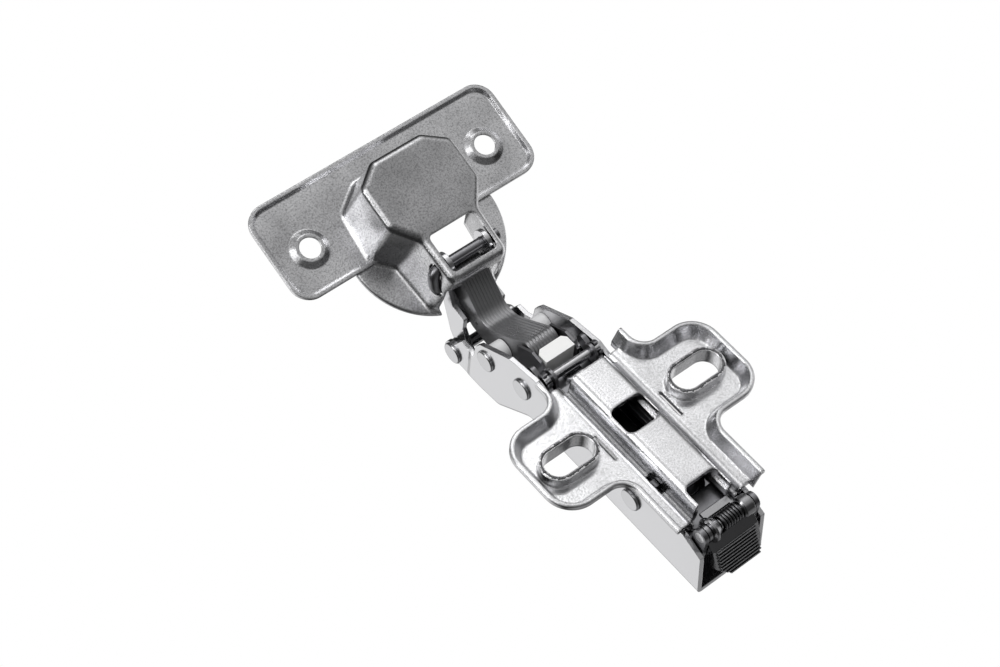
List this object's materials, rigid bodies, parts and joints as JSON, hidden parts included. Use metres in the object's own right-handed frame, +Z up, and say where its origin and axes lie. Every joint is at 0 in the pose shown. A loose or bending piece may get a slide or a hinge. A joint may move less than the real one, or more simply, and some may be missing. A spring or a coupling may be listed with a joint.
{
  "type": "concealed cup hinge",
  "caption": "Concealed soft-close cup hinge for a cabinet door, with a cross mounting plate, a cranked arm, a laminated link and a drawn cup.",
  "frame": {"origin": "midway between the two screw slots of the mounting plate, on the cabinet panel's face", "axes": "+X out of the panel into the cabinet, +Y to the rear of the cabinet, +Z up along the hinge pins"},
  "size_m": [0.0335, 0.1169, 0.062],
  "materials": {
    "zinc_plate": "bright nickel-plated pressed steel",
    "nickel_steel": "bright nickel-plated steel",
    "arm_steel": "smooth nickel-plated steel",
    "link_plate": "punched steel with bright edges",
    "frosted_cup": "satin nickel-plated drawn steel",
    "dark_lever": "black-plated ribbed lever",
    "grey_plastic": "light grey plastic",
    "white_plastic": "white plastic",
    "black_plastic": "black plastic",
    "dark_spring": "spring steel"
  },
  "bodies": {
    "plate": {"mounting_plate": "zinc_plate", "cam_stud": "nickel_steel"},
    "cam": {"depth_cam": "nickel_steel"},
    "slide": {"slide_plate": "nickel_steel", "hook_pin": "nickel_steel", "clip_bracket": "nickel_steel", "tilt_rivet": "arm_steel", "lever_axle": "nickel_steel"},
    "lever": {"release_lever": "dark_lever", "lever_spring": "nickel_steel"},
    "screw": {"overlay_screw": "nickel_steel"},
    "arm": {"arm": "arm_steel", "outer_link_pin": "arm_steel", "inner_link_pin": "arm_steel", "side_rivets": "arm_steel", "pin_sleeves": "grey_plastic", "damper_guide": "nickel_steel", "damper_housing": "black_plastic", "closing_spring": "dark_spring"},
    "slider": {"damper_slider": "white_plastic", "damper_rods": "nickel_steel"},
    "outer_link": {"outer_link": "nickel_steel"},
    "inner_link": {"inner_link_plate_1": "link_plate", "inner_link_plate_2": "link_plate", "inner_link_plate_3": "link_plate", "inner_link_plate_4": "link_plate", "inner_link_plate_5": "link_plate", "inner_link_plate_6": "link_plate", "inner_link_plate_7": "link_plate", "inner_link_plate_8": "link_plate", "inner_link_plate_9": "link_plate", "inner_link_rivet": "nickel_steel"},
    "cup": {"hinge_cup": "frosted_cup", "hairpin_axle": "nickel_steel"}
  },
  "joints": [
    {"name": "depth_cam_turn", "type": "hinge", "parent": "plate", "child": "cam", "pos_m": [0.007, 0.015, -0.00125], "axis": [1, 0, 0], "range_deg": [-60, 60]},
    {"name": "depth_slide", "type": "slide", "parent": "plate", "child": "slide", "axis": [0, 1, 0], "range_m": [-0.00108, 0.00108]},
    {"name": "overlay_screw_turn", "type": "hinge", "parent": "slide", "child": "screw", "pos_m": [0.015, -0.017, 0], "axis": [1, 0, 0], "range_deg": [-270, 270]},
    {"name": "arm_tilt", "type": "hinge", "parent": "slide", "child": "arm", "pos_m": [0.0104, 0.0102, 0], "axis": [0, 0, 1], "range_deg": [-1.5, 1.5]},
    {"name": "lever_press", "type": "hinge", "parent": "slide", "child": "lever", "pos_m": [0.0038, 0.0266, 0], "axis": [0, 0, 1], "range_deg": [0, 14], "stiffness_Nm_per_rad": 0.05, "springref_deg": -8.59},
    {"name": "cup_turn", "type": "hinge", "parent": "inner_link", "child": "cup", "pos_m": [0.00884, -0.04951, 0], "axis": [0, 0, 1], "range_deg": [0, 142.53]},
    {"name": "outer_link_turn", "type": "hinge", "parent": "cup", "child": "outer_link", "pos_m": [0.00419, -0.05058, 0], "axis": [0, 0, 1], "range_deg": [-117.67, 0]},
    {"name": "inner_link_turn", "type": "hinge", "parent": "arm", "child": "inner_link", "pos_m": [0.0144, -0.0329, 0], "axis": [0, 0, 1], "range_deg": [-32.53, 0]},
    {"name": "slider_push", "type": "slide", "parent": "arm", "child": "slider", "axis": [0, 1, 0], "range_m": [0, 0.0012]}
  ],
  "couplings": [
    {"joint": "depth_cam_turn", "follows": "depth_slide", "rad_per_m": -967.26},
    {"joint": "overlay_screw_turn", "follows": "arm_tilt", "ratio": 179.99},
    {"joint": "outer_link_turn", "follows": "cup_turn", "ratio": -0.82558},
    {"joint": "inner_link_turn", "follows": "cup_turn", "ratio": -0.22823},
    {"joint": "slider_push", "follows": "cup_turn", "m_per_rad": 0.00048234}
  ]
}
